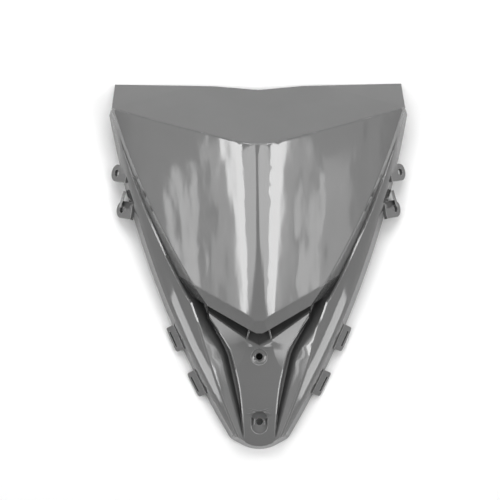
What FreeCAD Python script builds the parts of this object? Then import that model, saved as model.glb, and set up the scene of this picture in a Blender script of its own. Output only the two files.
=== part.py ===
import FreeCAD, Part
import Sketcher
import math
import os

# Motorcycle dash cover: one moulded shell, dome up, resting on its rear edge and its tip.
# X runs across, +Y to the rear edge, +Z up, millimetres; the origin is under the middle of the shell.
# The right half is built as an outer form less an inner form, one wall further in, and then mirrored.

DOC = FreeCAD.newDocument("dash_cover")
SHEET = DOC.addObject("Spreadsheet::Sheet", "Sizes")

SIZES = [
    ("wall", 2.5, "wall of the moulding"),
    ("span", 400, "half size of the blocks that trim the forms"),
    ("crease_y", 106.6, "where the keel meets the brow"),
    ("crease_z", 86, "height of the keel at the brow"),
    ("nose_y", -46, "where the keel meets the nose"),
    ("nose_z", 76, "height of the keel at the nose"),
    ("keel_half", 4, "half width of the flat keel"),
    ("crown_rear", 21, "half width of the crown at the brow"),
    ("crown_front", 13, "half width of the crown at the nose"),
    ("crown_slope", 13.5, "mean slope of the crown, degrees"),
    ("crown_bow", 7, "half turn of the crown's arc, degrees"),
    ("flank_slope", 22.4, "mean slope of the flanks, degrees"),
    ("flank_bow", 1.6, "half turn of the flank's arc, degrees"),
    ("flank_end", 150, "half width to which the flanks are drawn"),
    ("brow_slope", 52.8, "slope of the brow, degrees"),
    ("corner_x", 130, "outer end of the fold in the brow's corner"),
    ("corner_y", 141.9, "outer end of that fold along the part"),
    ("corner_slope", 55, "slope of the brow's corner, degrees"),
    ("corner_turn", 1.4, "turn of the brow's corner, degrees"),
    ("flap_half", 130.3, "half width of the brow at its edge"),
    ("flap_front", 141, "front end of the brow's free sides"),
    ("rear_y", 166.5, "rear corners of the brow"),
    ("rear_mid_x", 40, "where the rear edge starts to dip"),
    ("rear_mid_y", 164, "rear edge where the dip starts"),
    ("rear_dip_y", 160, "rear edge at the middle"),
    ("side_radius", 800, "plan radius of the dome's side wall"),
    ("side_edge_x", 103.2, "point on the dome's side wall across"),
    ("side_edge_y", 60, "point on the dome's side wall along"),
    ("side_turn", 22, "turn of the side wall at that point, degrees"),
    ("side_z", 34, "height of that point"),
    ("side_draft", 21, "draft of the dome's side wall, degrees"),
    ("lip_x", 57.3, "outer end of the front lip across"),
    ("lip_y", -27, "outer end of the front lip along"),
    ("lip_turn", 29.2, "turn of the front lip, degrees"),
    ("bevel_turn", 42.7, "turn of the front bevel, degrees"),
    ("bevel_slope", 52.6, "slope of the front bevel, degrees"),
    ("nose_slope", 50, "slope of the nose facet, degrees"),
    ("chin_y", -57.4, "foremost line of the nose"),
    ("corner_cut_x", 61, "rounding facet of the dome's front corner across"),
    ("corner_cut_y", -21.5, "rounding facet of the dome's front corner along"),
    ("corner_cut_turn", 52, "turn of that facet, degrees"),
    ("corner_cut_slope", 74, "slope of that facet, degrees"),
    ("shoulder_x", 133.6, "rear end of the skirt across"),
    ("shoulder_y", 138, "rear end of the skirt along"),
    ("shoulder_turn", 116.7, "turn of the skirt's rear end, degrees"),
    ("tip_y", -161.6, "top edge of the tip"),
    ("tip_z", 14.35, "height of the top edge of the tip"),
    ("tilt", 3.59, "rise of the skirt to the shoulders, degrees"),
    ("skirt_radius", 854.8, "plan radius of the skirt's top edge"),
    ("skirt_edge_x", 93.05, "point on the skirt's top edge across"),
    ("skirt_edge_y", 160, "point on the skirt's top edge behind the tip"),
    ("skirt_turn", 19.32, "turn of the skirt at that point, degrees"),
    ("skirt_drop", 14, "height of the skirt"),
    ("skirt_out", 5.2, "flare of the skirt at its lower edge"),
    ("bead_in", 2.5, "plan width of the bevel above the skirt"),
    ("bead_up", 3.4, "height of that bevel"),
    ("cheek_in", 24, "plan width of the cheek above the skirt"),
    ("cheek_up", 16, "height of the cheek above the skirt"),
    ("cheek_bow", 13, "half turn of the cheek's arc, degrees"),
    ("hood_in", 160, "how far in the base form is drawn"),
    ("hood_up", 26, "height of the base form there"),
    ("facet_x", 45.8, "point on the inner facet of the cheek across"),
    ("facet_y", -80.1, "point on that facet along"),
    ("facet_z", 31.5, "point on that facet up"),
    ("facet_turn", -86.4, "turn of that facet, degrees"),
    ("facet_slope", 22.7, "slope of that facet, degrees"),
    ("tip_round", 28, "plan radius of the tip"),
    ("tip_turn", 28.5, "turn of each side of the tip, degrees"),
    ("tip_draft", 72, "slope of the tip's skirt, degrees"),
    ("floor_drop", 1.5, "gill floor below the skirt's top edge"),
    ("gill_draft", 30, "draft of the gill's outer wall, degrees"),
    ("gill_z", 36, "height at which the gill's edge is drawn"),
    ("rail_gap", 0.3, "gap between rail edge and dome wall"),
    ("gill_head_turn", 38.6, "turn of the rail's end, degrees"),
    ("gill_cheek_x", 59.5, "gill edge at the top of the cheek across"),
    ("gill_cheek_y", -29.5, "gill edge at the top of the cheek along"),
    ("gill_bend_x", 54.4, "upper bend of the gill edge across"),
    ("gill_bend_y", -50, "upper bend of the gill edge along"),
    ("gill_knee_x", 40.5, "middle bend of the gill edge across"),
    ("gill_knee_y", -75, "middle bend of the gill edge along"),
    ("gill_run_x", 36.6, "lower bend of the gill edge across"),
    ("gill_run_y", -88, "lower bend of the gill edge along"),
    ("gill_end_x", 24.4, "gill edge at the tip across"),
    ("tongue_radius", 223, "radius of the tongue along the part"),
    ("tongue_y", -58.4, "crest of the tongue"),
    ("tongue_z", 38, "height of that crest"),
    ("tongue_draft", 8, "draft of the tongue's sides, degrees"),
    ("rim_level", 42, "height at which the tongue's outline is drawn"),
    ("rim_wing_x", 43, "tip of the wing across"),
    ("rim_wing_y", -45, "tip of the wing along"),
    ("rim_neck_x", 26.6, "neck of the tongue across"),
    ("rim_neck_y", -69, "neck of the tongue along"),
    ("rim_waist_x", 23.2, "waist of the tongue across"),
    ("rim_waist_y", -80, "waist of the tongue along"),
    ("rim_mid_x", 13.4, "middle of the tongue across"),
    ("rim_mid_y", -119, "middle of the tongue along"),
    ("rim_end_x", 9.8, "end of the tongue across"),
    ("wing_x", 11.4, "point on the wing's fold across"),
    ("wing_y", -66.7, "point on the wing's fold along"),
    ("wing_z", 37.9, "point on the wing's fold up"),
    ("wing_turn", 78.2, "turn of the wing, degrees"),
    ("wing_slope", 9.3, "slope of the wing, degrees"),
    ("dive_x", 12.3, "inner end of the wing's upper edge across"),
    ("dive_y", -62.7, "inner end of the wing's upper edge along"),
    ("dive_turn", 30.4, "turn of the wing's upper edge, degrees"),
    ("dive_slope", 52, "slope down under the nose, degrees"),
    ("screw_upper_y", -79.5, "upper screw"),
    ("screw_lower_y", -139.6, "lower screw"),
    ("screw_radius", 3.1, "screw hole"),
    ("screw_seat", 7.2, "seat of the upper screw"),
    ("seat_z", 35.4, "height of the upper seat"),
    ("sink_radius", 5, "countersink of the upper screw"),
    ("sink_deep", 1.6, "depth of that countersink"),
    ("pillar_radius", 6, "screw pillar"),
    ("bracket_z", 12, "foot of the screw pillars"),
    ("recess_half", 7.4, "half width of the lower recess"),
    ("recess_reach", 3.2, "half length of the recess between its round ends"),
    ("recess_z", 15.5, "floor of the lower recess"),
    ("ear_upper_out", 1.7, "upper ear beyond the skirt"),
    ("ear_upper_y", 85, "upper ear along"),
    ("ear_upper_low", 1.6, "upper ear below the skirt's lower edge"),
    ("ear_lower_out", 5.9, "lower ear beyond the skirt"),
    ("ear_lower_y", 52.1, "lower ear along"),
    ("ear_lower_low", 3.4, "lower ear below the skirt's lower edge"),
    ("ear_radius", 7.8, "outer radius of an ear"),
    ("ear_hole", 3.3, "hole of an ear"),
    ("ear_thick", 3.2, "thickness of an ear"),
    ("ear_tilt", 49, "fall of the ears to the outside, degrees"),
    ("ear_yaw", 10, "turn of that fall to the rear, degrees"),
    ("ear_root", 15, "reach of an ear into the skirt"),
    ("clip_upper_y", -63.9, "upper clip loop along"),
    ("clip_lower_y", -104.9, "lower clip loop along"),
    ("clip_up", 5, "root of a clip loop above the skirt's lower edge"),
    ("clip_tilt", 46, "fall of a clip loop to the outside, degrees"),
    ("clip_long", 24, "length of a clip loop"),
    ("clip_out", 3.8, "reach of a clip loop beyond the skirt"),
    ("clip_slot", 15, "length of the slot in a loop"),
    ("clip_gap", 2.4, "width of the slot in a loop"),
    ("clip_thick", 3, "thickness of a clip loop"),
    ("clip_rim", 1.8, "outer wall of a clip loop"),
    ("clip_round", 2.6, "rounding of a clip loop's outer corners"),
    ("web_rear", 16.5, "gusset behind the lower ear, rear end from the ear"),
    ("web_tall", 9, "height of that gusset"),
    ("web_thick", 1.8, "thickness of that gusset"),
    ("web_turn", 30, "turn of that gusset, degrees"),
    ("rib_x", 10.3, "rib under the nose across"),
    ("rib_y", -61.5, "rib under the nose along"),
    ("rib_turn", 13.5, "turn of that rib, degrees"),
    ("rib_long", 13, "length of that rib"),
    ("rib_thick", 1.6, "thickness of that rib"),
    ("rib_top", 37.4, "top of that rib"),
    ("edge_round", 1.8, "rounding of the dome's edges"),
    ("cheek_bevel", 1.2, "bevel of the rail's and cheek's edges"),
    ("tongue_bevel", 1, "bevel of the tongue's edges"),
    ("tip_corner", 8, "rounding of the corners beside the tip"),
]
for row, (alias, number, note) in enumerate(SIZES, 1):
    SHEET.set(f"A{row}", note)
    SHEET.set(f"B{row}", str(number))
    SHEET.setAlias(f"B{row}", alias)
DOC.recompute()

BASE = "placement(vector(0; Sizes.tip_y; Sizes.tip_z); rotation(0; 0; Sizes.tilt))"
SIDE_X = "(Sizes.side_edge_x - Sizes.side_radius * cos(Sizes.side_turn * 1 deg))"
SIDE_Y = "(Sizes.side_edge_y + Sizes.side_radius * sin(Sizes.side_turn * 1 deg))"
SKIRT_X = "(Sizes.skirt_edge_x - Sizes.skirt_radius * cos(Sizes.skirt_turn * 1 deg))"
SKIRT_BACK = "(Sizes.skirt_edge_y + Sizes.skirt_radius * sin(Sizes.skirt_turn * 1 deg))"
ROUND = "Part::Fillet"
BEVEL = "Part::Chamfer"
OUTER = "0"
INNER = "Sizes.wall"


def val(text):
    """Number that an expression of the sheet's sizes gives."""
    return float(SHEET.evalExpression(text))


def rad(text):
    """Expression of an angle given in plain degrees."""
    return f"({text} * 1 deg)"


def above(name, spot, turn, lean, depth="0", frame=""):
    """Block that fills the space above a plane through a spot, turned about Z and leaning about its own X."""
    block = DOC.addObject("Part::Box", name)
    for side in ("Length", "Width", "Height"):
        block.setExpression(side, "2 * Sizes.span")
    lead = f"{frame} * " if frame else ""
    block.setExpression("Placement", f"{lead}placement(vector({spot}); rotation({turn}; 0; {lean}))"
                        f" * placement(vector(-Sizes.span; -Sizes.span; -({depth})); rotation(0; 0; 0))")
    return block


ENDS = ((1, 2), (2, 1))


def outline(name, nodes, place):
    """Closed sketch through nodes (x, y, radius of the edge that follows or None), all bound to the sheet."""
    sketch = DOC.addObject("Sketcher::SketchObject", name)
    spots = [FreeCAD.Vector(val(x), val(y), 0) for x, y, _ in nodes]
    for i, (_, _, radius) in enumerate(nodes):
        a = spots[i]
        b = spots[(i + 1) % len(spots)]
        if radius is None:
            sketch.addGeometry(Part.LineSegment(a, b))
            continue
        half = (b - a).Length / 2
        side = FreeCAD.Vector(a.y - b.y, b.x - a.x, 0).normalize()
        rise = val(radius) - math.sqrt(val(radius) ** 2 - half ** 2)
        sketch.addGeometry(Part.Arc(a, (a + b) * 0.5 + side * rise, b))
    for i, (x, y, radius) in enumerate(nodes):
        follow = (i + 1) % len(nodes)
        start, finish = ENDS[radius is not None]
        joined = ENDS[nodes[follow][2] is not None][0]
        sketch.addConstraint(Sketcher.Constraint("Coincident", i, finish, follow, joined))
        for kind, text, axis in (("DistanceX", x, -2), ("DistanceY", y, -1)):
            amount = val(text)
            if abs(amount) < 1e-9:
                sketch.addConstraint(Sketcher.Constraint("PointOnObject", i, start, axis))
            elif amount > 0:
                n = sketch.addConstraint(Sketcher.Constraint(kind, -1, 1, i, start, amount))
                sketch.setExpression(f"Constraints[{n}]", text)
            else:
                n = sketch.addConstraint(Sketcher.Constraint(kind, i, start, -1, 1, -amount))
                sketch.setExpression(f"Constraints[{n}]", f"-({text})")
        if radius is not None:
            n = sketch.addConstraint(Sketcher.Constraint("Radius", i, val(radius)))
            sketch.setExpression(f"Constraints[{n}]", radius)
    sketch.setExpression("Placement", place)
    return sketch


def join(name, pieces):
    """Union of pieces."""
    made = DOC.addObject("Part::MultiFuse", name)
    made.Shapes = pieces
    return made


def overlap(name, pieces):
    """Space that pieces share."""
    made = DOC.addObject("Part::MultiCommon", name)
    made.Shapes = pieces
    return made


def less(name, body, tool):
    """Body with the tool taken away."""
    made = DOC.addObject("Part::Cut", name)
    made.Base = body
    made.Tool = tool
    return made


def eased(name, body, radius, wanted, kind=ROUND):
    """Body with some edges rounded or bevelled, chosen by their middle and the turn of their faces, degrees."""
    DOC.recompute()
    picks = []
    for number, edge in enumerate(body.Shape.Edges, 1):
        faces = body.Shape.ancestorsOfType(edge, Part.Face)
        spot = edge.valueAt((edge.FirstParameter + edge.LastParameter) / 2)
        ways = [face.normalAt(*face.Surface.parameter(spot)) for face in faces]
        if len(ways) == 2 and wanted(spot, math.degrees(ways[0].getAngle(ways[1]))):
            picks.append((number, val(radius), val(radius)))
    made = DOC.addObject(kind, name)
    made.Base = body
    made.Edges = picks
    return made


def crown(tag, inset):
    """Right half of the dome's roof: keel, crown and flank between a rear and a front section."""
    sections = []
    run = "(Sizes.crease_z - Sizes.nose_z) / (Sizes.crease_y - Sizes.nose_y)"
    gain = "(Sizes.crown_rear - Sizes.crown_front) / (Sizes.crease_y - Sizes.nose_y)"
    left = "0" if inset == OUTER else f"-4 * {inset}"
    for end, y in (("rear", "(Sizes.rear_y + 20)"), ("front", "(Sizes.chin_y - 30)")):
        keel = f"(Sizes.crease_z + ({y} - Sizes.crease_y) * {run} - 1.06 * {inset})"
        half = f"(Sizes.crown_rear + ({y} - Sizes.crease_y) * {gain})"
        reach = f"({half} - Sizes.keel_half)"
        drop = f"({reach} * tan{rad('Sizes.crown_slope')})"
        round_crown = f"{reach} / cos{rad('Sizes.crown_slope')} / (2 * sin{rad('Sizes.crown_bow')})"
        slope = f"(Sizes.flank_end - {half})"
        low = f"{keel} - {drop} - {slope} * tan{rad('Sizes.flank_slope')}"
        round_flank = f"{slope} / cos{rad('Sizes.flank_slope')} / (2 * sin{rad('Sizes.flank_bow')})"
        nodes = [
            (left, "-0.2 * Sizes.span", None),
            (left, keel, None),
            ("Sizes.keel_half", keel, round_crown),
            (half, f"{keel} - {drop}", round_flank),
            ("Sizes.flank_end", low, None),
            ("Sizes.flank_end", "-0.2 * Sizes.span", None),
        ]
        place = f"placement(vector(0; {y}; 0); rotation(0; 0; 90))"
        sections.append(outline(f"crown_{end}_{tag}", nodes, place))
    roof = DOC.addObject("Part::Loft", f"crown_{tag}")
    roof.Sections = sections
    roof.Solid = True
    roof.Ruled = True
    return roof


def cone(name, x, y, z, radius, grow):
    """Upright cone about a far axis, with its radius at a height and its growth per millimetre up."""
    body = DOC.addObject("Part::Cone", name)
    body.setExpression("Height", "0.5 * Sizes.span")
    body.setExpression("Radius1", f"{radius} - ({z} + 0.2 * Sizes.span) * ({grow})")
    body.setExpression("Radius2", f"{radius} + (0.3 * Sizes.span - {z}) * ({grow})")
    body.setExpression("Placement", f"placement(vector({x}; {y}; -0.2 * Sizes.span); rotation(0; 0; 0))")
    return body


def brow(tag, inset):
    """Blocks behind the brow and its folded corner."""
    fall = f"(Sizes.crease_z - (Sizes.corner_y - Sizes.crease_y) * tan{rad('Sizes.brow_slope')})"
    flat = above(f"brow_{tag}", "0; Sizes.crease_y; Sizes.crease_z", "0", "-Sizes.brow_slope", inset)
    fold = above(f"brow_corner_{tag}", f"Sizes.corner_x; Sizes.corner_y; {fall}", "-Sizes.corner_turn",
                 "-Sizes.corner_slope", inset)
    return [flat, fold]


def dome(tag, inset):
    """Right half of the dome: roof, side wall, brow, front bevel, nose facet and front lip."""
    draft = rad("Sizes.side_draft")
    side = cone(f"dome_side_{tag}", SIDE_X, SIDE_Y, "Sizes.side_z",
                f"(Sizes.side_radius - {inset} / cos{draft})", f"-tan{draft}")
    trims = brow(f"dome_{tag}", inset) + [
        above(f"bevel_{tag}", "Sizes.keel_half; Sizes.nose_y; Sizes.nose_z", "Sizes.bevel_turn",
              "Sizes.bevel_slope", inset),
        above(f"nose_{tag}", "0; Sizes.nose_y; Sizes.nose_z", "0", "Sizes.nose_slope", inset),
        above(f"lip_{tag}", "Sizes.lip_x; Sizes.lip_y; 0", "Sizes.lip_turn", "90", inset),
        above(f"chin_{tag}", "0; Sizes.chin_y; 0", "0", "90", inset),
        above(f"corner_cut_{tag}", "Sizes.corner_cut_x; Sizes.corner_cut_y; Sizes.side_z",
              "Sizes.corner_cut_turn", "Sizes.corner_cut_slope", inset),
    ]
    if inset == OUTER:
        trims.append(above(f"flap_side_{tag}", "Sizes.flap_half; 0; 0", "90", "90"))
    bulk = overlap(f"dome_block_{tag}", [crown(tag, inset), side])
    return less(f"dome_{tag}", bulk, join(f"dome_trims_{tag}", trims))


def under_floor(name, depth):
    """Block below the gill floor."""
    block = DOC.addObject("Part::Box", name)
    for side in ("Length", "Width", "Height"):
        block.setExpression(side, "2 * Sizes.span")
    block.setExpression("Placement", f"{BASE} * placement(vector(-Sizes.span; -0.5 * Sizes.span;"
                        f" -2 * Sizes.span - Sizes.floor_drop - ({depth})); rotation(0; 0; 0))")
    return block


def drafted(name, spots, level, draft, low, high, curved):
    """Prism on an outline given at a level, drafted on every side, with one run of its corners made a curve."""
    def ring(height):
        shift = (level - height) * math.tan(math.radians(draft))
        made = []
        for i, (x, y) in enumerate(spots):
            px, py = spots[i - 1]
            nx, ny = spots[(i + 1) % len(spots)]
            a = FreeCAD.Vector(y - py, px - x, 0).normalize()
            b = FreeCAD.Vector(ny - y, x - nx, 0).normalize()
            out = (a + b) * (1 / (1 + a.dot(b)))
            made.append(FreeCAD.Vector(x, y, height) + out * shift)
        first, last = curved
        sweep = Part.BSplineCurve()
        sweep.buildFromPoles(made[first:last + 1], False, 2)
        straight = made[last:] + made[:first + 1]
        sides = [Part.makeLine(p, q) for p, q in zip(straight, straight[1:])]
        return Part.Wire([sweep.toShape()] + sides)
    made = DOC.addObject("Part::Feature", name)
    made.Shape = Part.makeLoft([ring(low), ring(high)], True, True)
    return made


def tray(tag, inset):
    """Space of the gill and of the channel beside the dome, down to the gill floor."""
    draft = rad("Sizes.gill_draft")
    more = f"(Sizes.rail_gap + {inset} / cos{draft})"
    rail = cone(f"rail_edge_{tag}", SIDE_X, SIDE_Y, "Sizes.gill_z", f"(Sizes.side_radius + {more})",
                f"tan{draft}")
    ahead = above(f"rail_end_{tag}", "0; Sizes.gill_cheek_y; 0", "0", "90")
    names = [("gill_cheek_x", "gill_cheek_y"), ("gill_bend_x", "gill_bend_y"),
             ("gill_knee_x", "gill_knee_y"), ("gill_run_x", "gill_run_y"), ("gill_end_x", "tip_y")]
    edge = [(val(f"Sizes.{x}"), val(f"Sizes.{y}")) for x, y in names]
    far = val("Sizes.span") / 2
    slope = (edge[3][0] - edge[4][0]) / (edge[3][1] - edge[4][1])
    edge[4] = (edge[4][0] - far / 6 * slope, edge[4][1] - far / 6)
    rise = math.tan(math.radians(val("Sizes.gill_head_turn")))
    head = (far, edge[0][1] + (far - edge[0][0]) * rise)
    spots = [(-far, edge[4][1])] + edge[::-1] + [head, (far, 1.2 * far), (-far, 1.2 * far)]
    lean = val("Sizes.gill_draft")
    level = val("Sizes.gill_z") - val(inset) / math.sin(math.radians(lean))
    gill = drafted(f"gill_{tag}", spots, level, -lean, -far / 30, far / 3, (1, 5))
    space = overlap(f"tray_space_{tag}", [join(f"tray_reach_{tag}", [rail, ahead]), gill])
    return less(f"tray_{tag}", space, under_floor(f"tray_floor_{tag}", inset))


def tip(tag, inset):
    """Blocks in front of the tip: its straight sides and its rounded point."""
    gain = f"(Sizes.tip_round * (1 / cos{rad('Sizes.tip_turn')} - 1))"
    side = above(f"tip_side_{tag}", f"0; Sizes.tip_y - {gain}; Sizes.tip_z", "Sizes.tip_turn",
                 "Sizes.tip_draft", inset)
    slope = f"tan{rad('(90 - Sizes.tip_draft)')}"
    reach = f"(Sizes.tip_round - {inset} / sin{rad('Sizes.tip_draft')})"
    line = f"Sizes.tip_y + Sizes.tip_round - {reach} * cos{rad('Sizes.tip_turn')}"
    front = above(f"tip_front_{tag}", f"0; {line}; Sizes.tip_z", "0",
                  f"atan(tan{rad('Sizes.tip_draft')} / cos{rad('Sizes.tip_turn')}) / 1 deg")
    round_tip = DOC.addObject("Part::Cone", f"tip_round_{tag}")
    round_tip.setExpression("Height", f"0.2 * Sizes.span + Sizes.tip_z + {reach} / 2 / {slope}")
    round_tip.setExpression("Radius1", f"{reach} + (0.2 * Sizes.span + Sizes.tip_z) * {slope}")
    round_tip.setExpression("Radius2", f"{reach} / 2")
    round_tip.setExpression("Placement", "placement(vector(0; Sizes.tip_y + Sizes.tip_round;"
                            " -0.2 * Sizes.span); rotation(0; 0; 0))")
    return [side, less(f"tip_point_{tag}", front, round_tip)]


def base(tag, inset):
    """Right half of the skirt, rail and cheek, with the gill space taken out."""
    shift = f"0.75 * {inset}"
    low = "Sizes.skirt_drop" if inset == OUTER else "0.2 * Sizes.span"
    reach = "(Sizes.cheek_in - Sizes.bead_in)"
    rise = "(Sizes.cheek_up - Sizes.bead_up)"
    bow = f"sqrt({reach}^2 + {rise}^2) / (2 * sin{rad('Sizes.cheek_bow')})"
    flare = "Sizes.skirt_out"
    nodes = [
        (f"Sizes.skirt_radius - Sizes.hood_in - {shift}", f"-{low}", None),
        (f"Sizes.skirt_radius - Sizes.hood_in - {shift}", f"Sizes.hood_up - {shift}", None),
        (f"Sizes.skirt_radius - Sizes.cheek_in - {shift}", f"Sizes.cheek_up - {shift}", bow),
        (f"Sizes.skirt_radius - Sizes.bead_in - {shift}", f"Sizes.bead_up - {shift}", None),
        (f"Sizes.skirt_radius - {shift}", f"-{shift}" if inset != OUTER else "0", None),
        (f"Sizes.skirt_radius + {flare} - {shift}", f"-Sizes.skirt_drop - {shift}", None),
    ]
    if inset != OUTER:
        nodes.append((f"Sizes.skirt_radius + {flare} - {shift}", f"-{low}", None))
    section = outline(f"cheek_section_{tag}", nodes, "placement(vector(0; 0; 0); rotation(0; 0; 90))")
    ring = DOC.addObject("Part::Revolution", f"cheek_ring_{tag}")
    ring.Source = section
    ring.Axis = FreeCAD.Vector(0, 0, 1)
    ring.Angle = 80
    ring.Solid = True
    ring.setExpression("Placement",
                       f"{BASE} * placement(vector({SKIRT_X}; {SKIRT_BACK}; 0); rotation(-60; 0; 0))")
    tools = brow(f"base_{tag}", inset) + [
        tray(tag, inset),
        above(f"facet_{tag}", "Sizes.facet_x; Sizes.facet_y; Sizes.facet_z", "Sizes.facet_turn",
              "Sizes.facet_slope", inset),
    ] + tip(f"base_{tag}", inset)
    if inset == OUTER:
        tools.append(above(f"middle_base_{tag}", "0; 0; 0", "-90", "90"))
        corner = "Sizes.shoulder_x; Sizes.shoulder_y; 0"
        tools.append(above(f"shoulder_{tag}", corner, "Sizes.shoulder_turn", "90"))
    return less(f"base_{tag}", ring, join(f"base_tools_{tag}", tools))


def tongue(tag, inset):
    """Right half of the tongue with its wing, dropping under the nose at its upper end."""
    spots = [("rim_wing_x", "rim_wing_y"), ("rim_neck_x", "rim_neck_y"), ("rim_waist_x", "rim_waist_y"),
             ("rim_mid_x", "rim_mid_y"), ("rim_end_x", "tip_y")]
    rim = [(val(f"Sizes.{x}"), val(f"Sizes.{y}")) for x, y in spots]
    far = val("Sizes.span") / 2
    slope = (rim[3][0] - rim[4][0]) / (rim[3][1] - rim[4][1])
    rim[4] = (rim[4][0] - far / 6 * slope, rim[4][1] - far / 6)
    head = (rim[0][0] * 1.05, rim[0][1] + far / 12)
    rim = [(-far / 8, rim[4][1])] + rim[::-1] + [head, (-far / 8, head[1])]
    lean = val("Sizes.tongue_draft")
    level = val("Sizes.rim_level") - val(inset) / math.sin(math.radians(lean))
    block = drafted(f"tongue_block_{tag}", rim, level, lean, -far / 5, far / 3, (1, 5))
    roll = DOC.addObject("Part::Cylinder", f"tongue_roll_{tag}")
    roll.setExpression("Radius", f"Sizes.tongue_radius - {inset}")
    roll.setExpression("Height", "Sizes.span")
    roll.setExpression("Placement", "placement(vector(-0.5 * Sizes.span; Sizes.tongue_y;"
                       " Sizes.tongue_z - Sizes.tongue_radius); rotation(0; 90; 0))")
    tools = [
        above(f"wing_{tag}", "Sizes.wing_x; Sizes.wing_y; Sizes.wing_z", "Sizes.wing_turn",
              "Sizes.wing_slope", inset),
        above(f"dive_{tag}", "Sizes.dive_x; Sizes.dive_y; Sizes.tongue_z", "Sizes.dive_turn",
              "-Sizes.dive_slope", inset),
    ] + tip(f"tongue_{tag}", inset)
    if inset == OUTER:
        tools.append(above(f"middle_tongue_{tag}", "0; 0; 0", "-90", "90"))
    bar = overlap(f"tongue_bar_{tag}", [block, roll])
    return less(f"tongue_{tag}", bar, join(f"tongue_tools_{tag}", tools))


def flap(tag, inset):
    """Free rear part of the brow: a sheet with open sides."""
    if inset == OUTER:
        nodes = [
            ("0", "Sizes.flap_front", None),
            ("Sizes.flap_half", "Sizes.flap_front", None),
            ("Sizes.flap_half", "Sizes.rear_y", None),
            ("Sizes.rear_mid_x", "Sizes.rear_mid_y", None),
            ("0", "Sizes.rear_dip_y", None),
        ]
    else:
        nodes = [
            ("-10", "Sizes.flap_front", None),
            ("Sizes.flap_half + 30", "Sizes.flap_front", None),
            ("Sizes.flap_half + 30", "Sizes.rear_y + 40", None),
            ("-10", "Sizes.rear_y + 40", None),
        ]
    sheet = DOC.addObject("Part::Extrusion", f"flap_block_{tag}")
    place = "placement(vector(0; 0; -0.2 * Sizes.span); rotation(0; 0; 0))"
    sheet.Base = outline(f"flap_outline_{tag}", nodes, place)
    sheet.DirMode = "Custom"
    sheet.Dir = FreeCAD.Vector(0, 0, 1)
    sheet.setExpression("LengthFwd", "0.5 * Sizes.span")
    sheet.Solid = True
    return less(f"flap_{tag}", sheet, join(f"flap_tools_{tag}", brow(f"flap_{tag}", inset)))


def block(name, long, wide, tall, place):
    """Box bound to the sheet, with a corner at the place."""
    body = DOC.addObject("Part::Box", name)
    for side, text in (("Length", long), ("Width", wide), ("Height", tall)):
        body.setExpression(side, text)
    body.setExpression("Placement", place)
    return body


def post(name, x, y, low, high, radius):
    """Upright cylinder between two heights."""
    body = DOC.addObject("Part::Cylinder", name)
    body.setExpression("Radius", radius)
    body.setExpression("Height", f"{high} - ({low})")
    body.setExpression("Placement", f"placement(vector({x}; {y}; {low}); rotation(0; 0; 0))")
    return body


def oblong(name, y, half, reach, low, high):
    """Upright oblong column on the middle line, long way along the part."""
    ends = [post(f"{name}_{end}", "0", f"{y} {sign} {reach}", low, high, half)
            for end, sign in (("rear", "+"), ("front", "-"))]
    bar = block(f"{name}_bar", f"2 * {half}", f"2 * {reach}", f"{high} - ({low})",
                f"placement(vector(-{half}; {y} - {reach}; {low}); rotation(0; 0; 0))")
    return join(name, ends + [bar])


SKIRT_Y = f"(Sizes.tip_y + {SKIRT_BACK} * cos{rad('Sizes.tilt')})"
SKIRT_R = "(Sizes.skirt_radius + Sizes.skirt_out)"


def beside(y, low):
    """Frame on the skirt's lower edge at a place along the part: X outward, Y along the edge."""
    part = f"(({SKIRT_Y} - {y}) / {SKIRT_R})"
    x = f"({SKIRT_X} + {SKIRT_R} * sqrt(1 - {part}^2))"
    return f"placement(vector({x}; {y}; {low}); rotation(-asin({part}) / 1 deg; 0; 0))"


def hem(y):
    """Height of the skirt's lower edge at a place along the part."""
    return f"(Sizes.tip_z - Sizes.skirt_drop + ({y} - Sizes.tip_y) * tan{rad('Sizes.tilt')})"


def clip(tag, y):
    """Slotted loop that hangs out from the skirt, and its slot."""
    fall = rad("Sizes.clip_tilt")
    back = "(Sizes.wall + Sizes.clip_up * Sizes.skirt_out / Sizes.skirt_drop)"
    reach = f"(({back} + Sizes.clip_out) / cos{fall})"
    frame = (f"{beside(y, hem(y))} * placement(vector(-{back}; 0; Sizes.clip_up);"
             " rotation(0; Sizes.clip_tilt; 0))")
    body = block(f"clip_{tag}_tab", reach, "Sizes.clip_long", "Sizes.clip_thick",
                 f"{frame} * placement(vector(0; -Sizes.clip_long / 2; 0); rotation(0; 0; 0))")
    middle = FreeCAD.Vector(val(reach), 0, val("Sizes.clip_thick / 2"))
    DOC.recompute()
    turned = body.Placement.inverse()
    corners = eased(f"clip_{tag}", body, "Sizes.clip_round",
                    lambda spot, turn: abs(turned.multVec(spot).x - middle.x) < 0.01
                    and abs(turned.multVec(spot).z - middle.z) < 0.01)
    slot = block(f"clip_slot_{tag}", "Sizes.clip_gap", "Sizes.clip_slot", "3 * Sizes.clip_thick",
                 f"{frame} * placement(vector({reach} - Sizes.clip_rim - Sizes.clip_gap;"
                 f" -Sizes.clip_slot / 2; -Sizes.clip_thick); rotation(0; 0; 0))")
    return corners, slot


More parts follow.
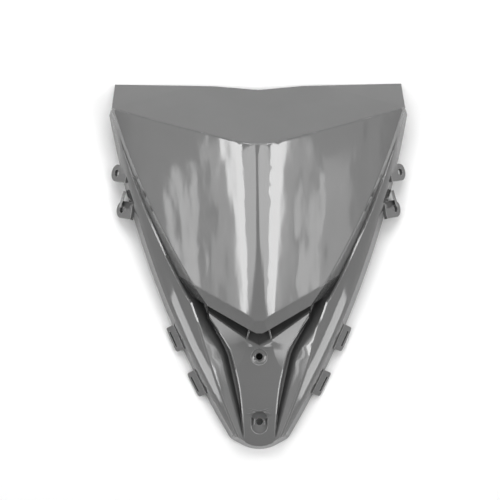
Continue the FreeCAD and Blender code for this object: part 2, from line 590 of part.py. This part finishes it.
def ear(tag):
    """Screw ear that hangs out from the skirt, and its hole."""
    y, low, out = (f"Sizes.ear_{tag}_{word}" for word in ("y", "low", "out"))
    part = f"(({SKIRT_Y} - {y}) / {SKIRT_R})"
    x = f"({SKIRT_X} + {SKIRT_R} * sqrt(1 - {part}^2) + {out})"
    frame = f"placement(vector({x}; {y}; {hem(y)} - {low}); rotation(Sizes.ear_yaw; Sizes.ear_tilt; 0))"
    lug = DOC.addObject("Part::Cylinder", f"ear_{tag}_lug")
    lug.setExpression("Radius", "Sizes.ear_radius")
    lug.setExpression("Height", "Sizes.ear_thick")
    lug.setExpression("Placement", frame)
    root = block(f"ear_{tag}_root", "Sizes.ear_root", "2 * Sizes.ear_radius", "Sizes.ear_thick",
                 f"{frame} * placement(vector(-Sizes.ear_root; -Sizes.ear_radius; 0); rotation(0; 0; 0))")
    hole = DOC.addObject("Part::Cylinder", f"ear_{tag}_hole")
    hole.setExpression("Radius", "Sizes.ear_hole")
    hole.setExpression("Height", "3 * Sizes.ear_thick")
    hole.setExpression("Placement", f"{frame} * placement(vector(0; 0; -Sizes.ear_thick); rotation(0; 0; 0))")
    return [lug, root], hole


def on_dome(spot, turn):
    """Sharp edges of the dome's upper half."""
    return turn > 12 and spot.x > 0.05 and spot.z > val("Sizes.crease_z") / 2


def on_tip(spot, turn):
    """Upright corner between the skirt and the tip."""
    near = spot.y < val("Sizes.tip_y + Sizes.tip_round") and spot.x > val("Sizes.tip_round") / 2
    return near and 10 < turn < 60 and 0 < spot.z < 0.8 * val("Sizes.tip_z")


def on_cheek(spot, turn):
    """Sharp edges of rail and cheek, well above the skirt."""
    rise = math.tan(math.radians(val("Sizes.tilt")))
    line = val("Sizes.tip_z") + (spot.y - val("Sizes.tip_y")) * rise
    return turn > 25 and spot.z > line + val("Sizes.cheek_up") / 4


def on_tongue(spot, turn):
    """Sharp edges of the tongue's upper face."""
    along = val("Sizes.screw_lower_y") < spot.y < val("Sizes.rim_wing_y")
    return along and turn > 20 and spot.x > 0.05 and spot.z > val("Sizes.tip_z")


dome_eased = eased("dome_eased", dome("outer", OUTER), "Sizes.edge_round", on_dome)
dome_out = less("dome_shell", dome_eased, under_floor("dome_foot", "Sizes.wall"))
tongue_out = eased("tongue_eased", tongue("outer", OUTER), "Sizes.tongue_bevel", on_tongue, BEVEL)
tongue_cut = less("tongue_shell", tongue_out, under_floor("tongue_foot", "Sizes.wall"))
base_tip = eased("base_tip", base("outer", OUTER), "Sizes.tip_corner", on_tip)
base_out = eased("base_eased", base_tip, "Sizes.cheek_bevel", on_cheek, BEVEL)
form_out = join("form_outer", [dome_out, flap("outer", OUTER), base_out, tongue_cut])
half = form_out
for name, space in (("base", base), ("tongue", tongue), ("flap", flap), ("dome", dome)):
    half = less(f"hollow_{name}", half, space("inner", INNER))

pillar = post("pillar", "0", "Sizes.screw_upper_y", "Sizes.bracket_z", "2 * Sizes.tongue_z",
              "Sizes.pillar_radius")
seat_pad = post("seat_pad", "0", "Sizes.screw_upper_y", "Sizes.seat_z - Sizes.wall", "2 * Sizes.tongue_z",
                "Sizes.screw_seat + Sizes.wall")
cup = oblong("cup", "Sizes.screw_lower_y", "(Sizes.recess_half + Sizes.wall)", "Sizes.recess_reach",
             "Sizes.bracket_z", "2 * Sizes.tongue_z")
stands = overlap("stands", [join("stand_columns", [pillar, seat_pad, cup]), tongue_out])
rib = block("rib", "Sizes.rib_thick", "Sizes.rib_long", "Sizes.rib_top - Sizes.bracket_z",
            "placement(vector(Sizes.rib_x; Sizes.rib_y; Sizes.bracket_z); rotation(Sizes.rib_turn; 0; 0))"
            " * placement(vector(-Sizes.rib_thick / 2; -Sizes.rib_long / 2; 0); rotation(0; 0; 0))")
rib_cut = less("rib_shell", rib, under_floor("rib_foot", "Sizes.wall"))
web = block("web", "Sizes.ear_root", "Sizes.web_thick", "Sizes.web_tall",
            beside("(Sizes.ear_lower_y + Sizes.web_rear)", f"{hem('Sizes.ear_lower_y')} - Sizes.ear_lower_low")
            + " * placement(vector(0; 0; 0); rotation(-90 + Sizes.web_turn; 0; 0))")
ears_upper, hole_upper = ear("upper")
ears_lower, hole_lower = ear("lower")
clip_upper, slot_upper = clip("upper", "Sizes.clip_upper_y")
clip_lower, slot_lower = clip("lower", "Sizes.clip_lower_y")
lugs = ears_upper + ears_lower + [clip_upper, clip_lower]
solid_half = join("solid_half", [half, stands, rib_cut, web] + lugs)
seat_cut = post("seat_cut", "0", "Sizes.screw_upper_y", "Sizes.seat_z", "2 * Sizes.tongue_z",
                "Sizes.screw_seat")
recess = oblong("recess", "Sizes.screw_lower_y", "Sizes.recess_half", "Sizes.recess_reach",
                "Sizes.recess_z", "2 * Sizes.tongue_z")
sink = DOC.addObject("Part::Cone", "sink")
sink.setExpression("Radius1", "Sizes.screw_radius")
sink.setExpression("Radius2", "Sizes.sink_radius")
sink.setExpression("Height", "Sizes.sink_deep")
sink.setExpression("Placement", "placement(vector(0; Sizes.screw_upper_y; Sizes.seat_z - Sizes.sink_deep);"
                   " rotation(0; 0; 0))")
drills = [post(f"drill_{end}", "0", f"Sizes.screw_{end}_y", "0", "2 * Sizes.tongue_z", "Sizes.screw_radius")
          for end in ("upper", "lower")]
slots = [hole_upper, hole_lower, slot_upper, slot_lower]
finished = less("finished_half", solid_half, join("cuts", [seat_cut, sink, recess] + drills + slots))
other = DOC.addObject("Part::Mirroring", "other_half")
other.Source = finished
other.Normal = FreeCAD.Vector(1, 0, 0)
cover = join("dash_cover", [finished, other])
cover.Refine = True
DOC.recompute()

for item in DOC.Objects:
    if "Invalid" in item.State or "Error" in item.State:
        raise RuntimeError(f"{item.Label} was not made: {item.State}")
    if item.isDerivedFrom("Part::Feature") and not item.Shape.isValid():
        raise RuntimeError(f"{item.Label} has a shape that is not valid")
if len(cover.Shape.Solids) != 1:
    raise RuntimeError(f"{cover.Label} is in {len(cover.Shape.Solids)} pieces")

os.makedirs("parts", exist_ok=True)
cover.Shape.exportStep(f"parts/{cover.Label}.step")
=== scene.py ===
import math

import bpy
from bpy.props import FloatProperty, FloatVectorProperty, PointerProperty
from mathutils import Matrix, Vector


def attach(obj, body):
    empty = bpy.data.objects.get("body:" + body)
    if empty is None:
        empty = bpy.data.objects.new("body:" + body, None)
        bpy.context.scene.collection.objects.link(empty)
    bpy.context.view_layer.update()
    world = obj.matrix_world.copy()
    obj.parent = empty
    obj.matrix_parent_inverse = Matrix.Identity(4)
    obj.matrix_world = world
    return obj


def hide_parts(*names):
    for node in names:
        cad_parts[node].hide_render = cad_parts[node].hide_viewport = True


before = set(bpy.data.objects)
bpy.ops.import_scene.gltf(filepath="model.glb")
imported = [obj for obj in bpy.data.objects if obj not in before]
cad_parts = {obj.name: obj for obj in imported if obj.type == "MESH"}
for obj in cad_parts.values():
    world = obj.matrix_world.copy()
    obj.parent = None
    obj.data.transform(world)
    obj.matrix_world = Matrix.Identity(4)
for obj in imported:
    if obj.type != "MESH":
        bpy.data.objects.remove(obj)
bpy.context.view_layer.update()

bl_info = {
    "name": "Motorcycle dash cover",
    "version": (1, 0, 0),
    "blender": (4, 5, 0),
    "location": "View3D > Sidebar > Dash cover",
    "description": "Finishes the moulded dash cover and sets up its studio",
    "category": "Object",
}

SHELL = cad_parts["dash_cover"]

# Corners of the mesh that are nearer than this are joined.
WELD = 1e-6
# The flat strip along the dome's keel: half its width, its lowest point, and how far its faces look up.
KEEL_HALF = 0.0045
KEEL_LOW = 0.0755
KEEL_UP = 0.99
# The fold in that strip: its line, its two ends, and how near to them a corner has to lie.
FOLD_X = -0.001
FOLD_ENDS = (-0.035, 0.095)
NEAR_LINE = 1e-5
NEAR_END = 0.001
# How far broad faces lead in the smooth shading, from 1 to 100. At 50 it goes by their area alone.
BROAD_FACES = 50

# Most of a noise texture lies between these two values.
NOISE_RANGE = (0.3, 0.7)
# Scale and detail of the mottling and of the uneven gloss, and how far the gloss strays from its mean.
MOTTLE_NOISE = (16, 3)
GLOSS_NOISE = (45, 2)
GLOSS_SPREAD = 0.2
PLASTIC_IOR = 1.6
SHADER_SAMPLES = 8
# Openness, from 0 to 1, between which the painted shade in a hollow clears and between which an edge counts
# as outer for the painted edge highlight.
PAINTED_SHADE_OPEN = (0.1, 0.8)
OUTER_OPEN = (0.75, 0.95)
# Cosine of the turn in an eased edge where its painted highlight line begins and where it is full.
EDGE_TURN = (0.995, 0.95)
# Noise scale of the three sizes of waves, their detail, and how far they are drawn out along the cover.
WAVE_SCALE = 14
BLOTCH_SCALE = 40
RIPPLE_SCALE = 110
WAVE_DETAIL = 1
WAVE_STRETCH = 3
# Share of the waves that is left low down, and the height of the full waves against where they begin.
WAVE_LEFT = 0.35
WAVE_FULL = 1.3
# Distances from the keel between which the blotches grow.
FLANK = (0.012, 0.030)

WHITE = (1, 1, 1, 1)
TABLE_SIZE = 8
TABLE_ROUGHNESS = 0.8
SENSOR = 36
# The point that all lamps face.
MIDDLE = Vector((0, 0.03, 0.07))
# A lamp that leans further than this stands low beside the cover, and swings round it.
LOW_LEAN = 60
# Name and brightness, then lean to the right, swing to the front, and extent level and upright, in degrees.
LAMPS = (
    ("inner_right", 4.4, 14.5, 4.7, 12.1, 19),
    ("inner_left", 3.9, -18.7, 4.7, 12.1, 21.5),
    ("outer_right", 9.8, 33.5, 6.3, 17, 18.9),
    ("outer_left", 9.8, -36.2, 6.3, 17, 13.5),
    ("rim_right", 9.0, 21.6, -13.6, 7, 13),
    ("rim_left", 9.0, -21.6, -13.6, 7, 13),
    ("edge_right", 1.8, 44.2, 8.3, 14.0, 2.5),
    ("edge_left", 2.1, -44.4, 8.3, 14.0, 2.8),
    ("side_right", 3.4, 47.1, 10.3, 10.4, 2),
    ("far_right", 1.4, 49.8, 9.3, 11.6, 3.4),
    ("side_left", 3.8, -48.7, 10.3, 10.4, 2.6),
    ("fill_right", 0.6, 50, 4, 30, 9),
    ("fill_left", 0.6, -50, 4, 30, 9),
    ("rear", 6.2, 0, -40, 42, 26),
    ("low_right", 4.6, 85, 33, 14, 20),
    ("low_left", 4.6, -85, 33, 14, 20),
)


class DashCoverFinish(bpy.types.PropertyGroup):
    """Colour, gloss and shading of the moulded shell"""

    grey: FloatVectorProperty(
        name="Plastic", description="Colour of the moulded plastic", subtype="COLOR",
        default=(0.104, 0.104, 0.104), min=0, max=1)
    mottle: FloatProperty(
        name="Mottling", description="Faint change of tone over the plastic", subtype="FACTOR",
        default=0.05, min=0, max=1)
    roughness: FloatProperty(
        name="Roughness", description="Mean roughness of the moulded face", subtype="FACTOR",
        default=0.07, min=0, max=1)
    wave: FloatProperty(
        name="Waves", description="Height of the mould's faint waves", unit="LENGTH",
        default=0.00012, min=0)
    wave_low: FloatProperty(
        name="Waves from", description="Height at which the waves begin to grow", unit="LENGTH",
        default=0.042, min=0)
    blotch: FloatProperty(
        name="Blotches", description="Height of the shorter waves on the dome's flanks", unit="LENGTH",
        default=0.0002, min=0)
    ripple: FloatProperty(
        name="Ripples", description="Height of the finer ripples", unit="LENGTH",
        default=0.00002, min=0)
    edge: FloatProperty(
        name="Edge", description="Radius to which sharp edges are eased in shading", unit="LENGTH",
        default=0.0005, min=0)
    # Painted highlight: lightness of the pale line painted along outer edges in place of glints.
    edge_highlight: FloatProperty(
        name="Edge line", description="Lightness of the thin pale line along outer edges", subtype="FACTOR",
        default=0.45, min=0, max=1)
    # Painted shade: how far the plastic's colour is darkened deep in its hollows, where shade falls.
    hollow: FloatProperty(
        name="Hollows", description="How far the plastic darkens deep in its hollows", subtype="FACTOR",
        default=0.38, min=0, max=1)
    # Reach of the ambient occlusion that sets the painted shade in the hollows.
    hollow_reach: FloatProperty(
        name="Hollow reach", description="Distance over which a hollow is felt", unit="LENGTH",
        default=0.03, min=0)
    fold: FloatProperty(
        name="Keel fold", description="Rise of the fold along the dome's keel", unit="LENGTH",
        default=0.0004, min=0)
    crease: FloatProperty(
        name="Crease", description="Turn between faces above which an edge stays sharp", unit="ROTATION",
        default=math.radians(12.5), min=0)


class DashCoverStudio(bpy.types.PropertyGroup):
    """Camera and lights above the white table"""

    camera_height: FloatProperty(
        name="Camera height", description="Height of the lens above the table", unit="LENGTH",
        default=1.4)
    camera_x: FloatProperty(
        name="Camera X", description="Place of the lens across the cover", unit="LENGTH",
        default=-0.0079)
    camera_y: FloatProperty(
        name="Camera Y", description="Place of the lens along the cover", unit="LENGTH",
        default=0.0155)
    camera_roll: FloatProperty(
        name="Camera roll", description="Turn of the camera about its view", unit="ROTATION",
        default=math.radians(-0.2))
    lens: FloatProperty(
        name="Lens", description="Focal length", unit="CAMERA",
        default=110.4)
    table: FloatProperty(
        name="Table", description="Whiteness of the table", subtype="FACTOR",
        default=0.86, min=0, max=1)
    table_front: FloatProperty(
        name="Table front", description="Front edge of the table, out of the picture", unit="LENGTH",
        default=-0.225)
    reach: FloatProperty(
        name="Reach", description="Distance of the lamps from the cover", unit="LENGTH",
        default=1.3)
    ambient: FloatProperty(
        name="Ambient", description="Strength of the even light from the room",
        default=0.1, min=0)


def material(name):
    """A material with nothing but its output and principled shader."""
    made = bpy.data.materials.new(name)
    made.use_nodes = True
    tree = made.node_tree
    tree.nodes.clear()
    output = tree.nodes.new("ShaderNodeOutputMaterial")
    shader = tree.nodes.new("ShaderNodeBsdfPrincipled")
    tree.links.new(shader.outputs["BSDF"], output.inputs["Surface"])
    return made, shader


def spread(tree, value, start, end, low=0, high=1):
    """A value that lies between start and end, spread between low and high."""
    made = tree.nodes.new("ShaderNodeMapRange")
    made.inputs["From Min"].default_value = start
    made.inputs["From Max"].default_value = end
    made.inputs["To Min"].default_value = low
    made.inputs["To Max"].default_value = high
    tree.links.new(value, made.inputs["Value"])
    return made.outputs["Result"]


def reckon(tree, operation, *values):
    """The sum, product or size of the values."""
    made = tree.nodes.new("ShaderNodeMath")
    made.operation = operation
    for value, socket in zip(values, made.inputs):
        tree.links.new(value, socket)
    return made.outputs["Value"]


def noise(tree, scale, detail, low, high, stretch=1):
    """Soft noise over the piece, drawn out along it and spread between two values."""
    place = tree.nodes.new("ShaderNodeTexCoord")
    drawn = tree.nodes.new("ShaderNodeMapping")
    drawn.inputs["Scale"].default_value = (1, 1 / stretch, 1)
    cloud = tree.nodes.new("ShaderNodeTexNoise")
    cloud.inputs["Scale"].default_value = scale
    cloud.inputs["Detail"].default_value = detail
    tree.links.new(place.outputs["Object"], drawn.inputs["Vector"])
    tree.links.new(drawn.outputs["Vector"], cloud.inputs["Vector"])
    return spread(tree, cloud.outputs["Fac"], *NOISE_RANGE, low, high)


def plastic_colour(tree, finish, eased):
    """Mottled grey, with painted shade darkening it deep in the hollows and a painted highlight in a thin
    pale line along outer edges.
    """
    # How open each point is: it sets the painted shade in the hollows and keeps the painted edge highlight
    # to outer edges.
    around = tree.nodes.new("ShaderNodeAmbientOcclusion")
    around.samples = SHADER_SAMPLES
    around.only_local = True
    around.inputs["Distance"].default_value = finish.hollow_reach
    openness = around.outputs["AO"]
    mottling = noise(tree, *MOTTLE_NOISE, 1 - finish.mottle, 1 + finish.mottle)
    # Painted shade: the colour is darkened where the hollows close in.
    hollows = spread(tree, openness, *PAINTED_SHADE_OPEN, low=1 - finish.hollow)
    tone = tree.nodes.new("ShaderNodeMix")
    tone.data_type = "RGBA"
    tone.blend_type = "MULTIPLY"
    tone.inputs["Factor"].default_value = 1
    tone.inputs["A"].default_value = (*finish.grey, 1)
    tree.links.new(reckon(tree, "MULTIPLY", mottling, hollows), tone.inputs["B"])
    # Painted highlight: a thin pale line along outer edges, where the eased normal turns from the plain
    # one.
    plain = tree.nodes.new("ShaderNodeNewGeometry")
    turn = tree.nodes.new("ShaderNodeVectorMath")
    turn.operation = "DOT_PRODUCT"
    tree.links.new(eased, turn.inputs[0])
    tree.links.new(plain.outputs["Normal"], turn.inputs[1])
    edges = spread(tree, turn.outputs["Value"], *EDGE_TURN)
    outer = spread(tree, openness, *OUTER_OPEN)
    painted_edge_highlight = tree.nodes.new("ShaderNodeMix")
    painted_edge_highlight.data_type = "RGBA"
    painted_edge_highlight.inputs["B"].default_value = (finish.edge_highlight, finish.edge_highlight, finish.edge_highlight, 1)
    tree.links.new(reckon(tree, "MULTIPLY", edges, outer), painted_edge_highlight.inputs["Factor"])
    tree.links.new(tone.outputs["Result"], painted_edge_highlight.inputs["A"])
    return painted_edge_highlight.outputs["Result"]


def plastic_waves(tree, finish, normal):
    """The mould's slow waves: full on the dome, slight lower down, with blotches on the dome's flanks."""
    place = tree.nodes.new("ShaderNodeTexCoord")
    axes = tree.nodes.new("ShaderNodeSeparateXYZ")
    tree.links.new(place.outputs["Object"], axes.inputs["Vector"])
    dome = spread(tree, axes.outputs["Z"], finish.wave_low, WAVE_FULL * finish.wave_low, low=WAVE_LEFT)
    from_keel = reckon(tree, "ABSOLUTE", axes.outputs["X"])
    flanks = reckon(tree, "MULTIPLY", dome, spread(tree, from_keel, *FLANK))
    for height, scale, where in (
            (finish.wave, WAVE_SCALE, dome),
            (finish.blotch, BLOTCH_SCALE, flanks),
            (finish.ripple, RIPPLE_SCALE, dome)):
        wave = tree.nodes.new("ShaderNodeBump")
        wave.inputs["Distance"].default_value = height
        tree.links.new(where, wave.inputs["Strength"])
        tree.links.new(noise(tree, scale, WAVE_DETAIL, 0, 1, WAVE_STRETCH), wave.inputs["Height"])
        tree.links.new(normal, wave.inputs["Normal"])
        normal = wave.outputs["Normal"]
    return normal


def gloss_plastic(finish):
    """Glossy moulded plastic with faint mottling, uneven gloss and slow waves, painted shade in its hollows
    and a painted highlight along outer edges.
    """
    made, shader = material("moulded_gloss_grey")
    tree = made.node_tree
    easing = tree.nodes.new("ShaderNodeBevel")
    easing.samples = SHADER_SAMPLES
    easing.inputs["Radius"].default_value = finish.edge
    eased = easing.outputs["Normal"]
    smoothest = (1 - GLOSS_SPREAD) * finish.roughness
    roughest = (1 + GLOSS_SPREAD) * finish.roughness
    tree.links.new(plastic_colour(tree, finish, eased), shader.inputs["Base Color"])
    tree.links.new(noise(tree, *GLOSS_NOISE, smoothest, roughest), shader.inputs["Roughness"])
    tree.links.new(plastic_waves(tree, finish, eased), shader.inputs["Normal"])
    shader.inputs["IOR"].default_value = PLASTIC_IOR
    return made


def on_keel(piece, corners):
    """Whether all these corners lie on the flat strip along the dome's keel."""
    places = [piece.data.vertices[each].co for each in corners]
    return all(abs(place.x) < KEEL_HALF and place.z > KEEL_LOW for place in places)


def select_none(kind):
    """Select no face or corner of the mesh, and leave Edit Mode."""
    bpy.ops.object.mode_set(mode="EDIT")
    bpy.ops.mesh.select_mode(type=kind)
    bpy.ops.mesh.select_all(action="DESELECT")
    bpy.ops.object.mode_set(mode="OBJECT")


def fold_keel(piece, rise):
    """Cut the flat strip along the keel and at the fold's ends, and raise the line between them."""
    start, end = FOLD_ENDS
    for place, facing in (
            ((FOLD_X, 0, 0), (1, 0, 0)),
            ((0, start, 0), (0, 1, 0)),
            ((0, end, 0), (0, 1, 0))):
        select_none("FACE")
        for face in piece.data.polygons:
            face.select = face.normal.z > KEEL_UP and on_keel(piece, face.vertices)
        bpy.ops.object.mode_set(mode="EDIT")
        bpy.ops.mesh.bisect(plane_co=place, plane_no=facing)
        bpy.ops.object.mode_set(mode="OBJECT")
    select_none("VERT")
    for vertex in piece.data.vertices:
        on_line = abs(vertex.co.x - FOLD_X) < NEAR_LINE
        between = start - NEAR_END < vertex.co.y < end + NEAR_END
        vertex.select = on_line and between and on_keel(piece, [vertex.index])
    bpy.ops.object.mode_set(mode="EDIT")
    bpy.ops.transform.translate(value=(0, 0, rise))
    bpy.ops.object.mode_set(mode="OBJECT")


class OBJECT_OT_dash_cover_shell(bpy.types.Operator):
    """Make the smooth moulded shell and give it its glossy grey finish"""

    bl_idname = "object.dash_cover_shell"
    bl_label = "Shell"

    def execute(self, context):
        finish = context.scene.dash_cover_finish
        bpy.ops.object.select_all(action="DESELECT")
        SHELL.select_set(True)
        context.view_layer.objects.active = SHELL
        bpy.ops.object.duplicate()
        piece = context.object
        piece.name = "moulded_shell"
        bpy.ops.object.mode_set(mode="EDIT")
        bpy.ops.mesh.select_all(action="SELECT")
        bpy.ops.mesh.remove_doubles(threshold=WELD)
        bpy.ops.object.mode_set(mode="OBJECT")
        fold_keel(piece, finish.fold)
        bpy.ops.object.shade_smooth_by_angle(angle=finish.crease)
        bpy.ops.object.modifier_add(type="WEIGHTED_NORMAL")
        even = piece.modifiers[-1]
        even.mode = "FACE_AREA"
        even.weight = BROAD_FACES
        even.keep_sharp = True
        bpy.ops.object.modifier_apply(modifier=even.name)
        piece.data.materials.clear()
        piece.data.materials.append(gloss_plastic(finish))
        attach(piece, "root")
        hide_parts("dash_cover")
        return {"FINISHED"}


def lamp(name, level, lean, swing, level_extent, upright, reach):
    """A rectangular lamp on a great ball round the cover, facing its middle."""
    across = math.radians(lean)
    along = math.radians(swing)
    if abs(lean) > LOW_LEAN:
        way = Vector((math.sin(across) * math.cos(along), -math.sin(along), math.cos(across)))
    else:
        way = Vector((math.sin(across), -math.tan(along) * math.cos(across), math.cos(across)))
    way.normalize()
    wide, high = [2 * reach * math.tan(math.radians(each) / 2) for each in (level_extent, upright)]
    bpy.ops.object.light_add(type="AREA", location=MIDDLE + way * reach)
    made = bpy.context.object
    made.name = name
    made.data.shape = "RECTANGLE"
    made.data.size = wide
    made.data.size_y = high
    made.data.energy = level * math.pi * wide * high
    made.rotation_euler = way.to_track_quat("Z", "Y").to_euler()


def room(scene, strength):
    """Even light from all round, plain white where it is seen or mirrored."""
    world = bpy.data.worlds.new("room")
    scene.world = world
    world.use_nodes = True
    tree = world.node_tree
    back = tree.nodes["Background"]
    back.inputs["Color"].default_value = WHITE
    path = tree.nodes.new("ShaderNodeLightPath")
    mirrored = reckon(tree, "ADD", path.outputs["Is Glossy Ray"], path.outputs["Is Transmission Ray"])
    shown = reckon(tree, "ADD", path.outputs["Is Camera Ray"], mirrored)
    tree.links.new(spread(tree, shown, 0, 1, low=strength), back.inputs["Strength"])


class OBJECT_OT_dash_cover_studio(bpy.types.Operator):
    """Set up the white table, the lamps and the camera"""

    bl_idname = "object.dash_cover_studio"
    bl_label = "Studio"

    def execute(self, context):
        scene = context.scene
        studio = scene.dash_cover_studio
        scene.view_settings.view_transform = "Standard"
        bpy.ops.object.select_all(action="DESELECT")
        table_middle = (0, TABLE_SIZE / 2 + studio.table_front, 0)
        bpy.ops.mesh.primitive_plane_add(size=TABLE_SIZE, location=table_middle)
        table = context.object
        bpy.ops.object.transform_apply(location=True)
        table.name = "table"
        made, shader = material("white_table")
        shader.inputs["Base Color"].default_value = (studio.table, studio.table, studio.table, 1)
        shader.inputs["Roughness"].default_value = TABLE_ROUGHNESS
        shader.inputs["Specular IOR Level"].default_value = 0
        table.data.materials.append(made)
        for each in LAMPS:
            lamp(*each, studio.reach)
        room(scene, studio.ambient)
        bpy.ops.object.camera_add(
            location=(studio.camera_x, studio.camera_y, studio.camera_height),
            rotation=(0, 0, studio.camera_roll))
        camera = context.object
        camera.data.lens = studio.lens
        camera.data.sensor_width = SENSOR
        scene.camera = camera
        return {"FINISHED"}


class VIEW3D_PT_dash_cover(bpy.types.Panel):
    """Lists the cover's finish and studio"""

    bl_label = "Dash cover"
    bl_idname = "VIEW3D_PT_dash_cover"
    bl_space_type = "VIEW_3D"
    bl_region_type = "UI"
    bl_category = "Dash cover"

    def draw(self, context):
        layout = self.layout
        for group, operator in (
                (context.scene.dash_cover_finish, "object.dash_cover_shell"),
                (context.scene.dash_cover_studio, "object.dash_cover_studio")):
            for name in group.__annotations__:
                layout.prop(group, name)
            layout.operator(operator)


CLASSES = (
    DashCoverFinish,
    DashCoverStudio,
    OBJECT_OT_dash_cover_shell,
    OBJECT_OT_dash_cover_studio,
    VIEW3D_PT_dash_cover,
)


def register():
    for each in CLASSES:
        bpy.utils.register_class(each)
    bpy.types.Scene.dash_cover_finish = PointerProperty(type=DashCoverFinish)
    bpy.types.Scene.dash_cover_studio = PointerProperty(type=DashCoverStudio)


def unregister():
    del bpy.types.Scene.dash_cover_studio
    del bpy.types.Scene.dash_cover_finish
    for each in reversed(CLASSES):
        bpy.utils.unregister_class(each)


def main():
    register()
    bpy.ops.object.dash_cover_shell()
    bpy.ops.object.dash_cover_studio()


if __name__ == "__main__":
    main()
